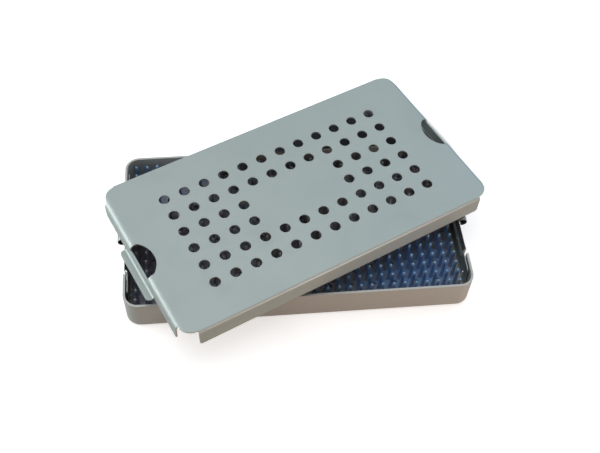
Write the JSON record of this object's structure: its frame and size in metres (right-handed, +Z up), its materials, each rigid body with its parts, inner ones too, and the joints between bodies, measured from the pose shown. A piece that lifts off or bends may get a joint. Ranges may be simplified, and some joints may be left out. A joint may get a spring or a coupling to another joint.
{
  "type": "instrument cassette",
  "caption": "Shallow sheet-metal instrument tray with a soft finger mat, a perforated lid lying askew on it and a spring latch at each end.",
  "frame": {"origin": "centre of the tray's flat underside, which stands on the table", "axes": "+Z up, +X along the tray towards the end over which the lid's far corner reaches, -Y towards the front long side"},
  "size_m": [0.2094, 0.168, 0.0353],
  "materials": {
    "tray_sheet": "satin anodised",
    "lid_sheet": "satin anodised",
    "mat_silicone": "matte",
    "spring_sheet": "satin",
    "rivet_metal": "polished"
  },
  "bodies": {
    "tray_body": {"tray": "tray_sheet", "latch_strip_left": "spring_sheet", "latch_strip_right": "spring_sheet", "rivet_left_front": "rivet_metal", "rivet_left_rear": "rivet_metal", "rivet_right_front": "rivet_metal", "rivet_right_rear": "rivet_metal"},
    "lid_body": {"lid": "lid_sheet"},
    "mat_body": {"finger_mat": "mat_silicone"},
    "left_latch_body": {"latch_leaf_left": "spring_sheet"},
    "right_latch_body": {"latch_leaf_right": "spring_sheet"}
  },
  "joints": [
    {"name": "lid_lift", "type": "slide", "parent": "tray_body", "child": "lid_body", "axis": [0, 0, 1], "range_m": [0, 0.06]},
    {"name": "mat_lift", "type": "slide", "parent": "tray_body", "child": "mat_body", "axis": [0, 0, 1], "range_m": [0, 0.006]},
    {"name": "left_latch_press", "type": "hinge", "parent": "tray_body", "child": "left_latch_body", "pos_m": [-0.0919, 0, 0.01045], "axis": [0, 1, 0], "range_deg": [0, 15], "stiffness_Nm_per_rad": 0.35},
    {"name": "right_latch_press", "type": "hinge", "parent": "tray_body", "child": "right_latch_body", "pos_m": [0.0919, 0, 0.01045], "axis": [0, -1, 0], "range_deg": [0, 15], "stiffness_Nm_per_rad": 0.35}
  ]
}
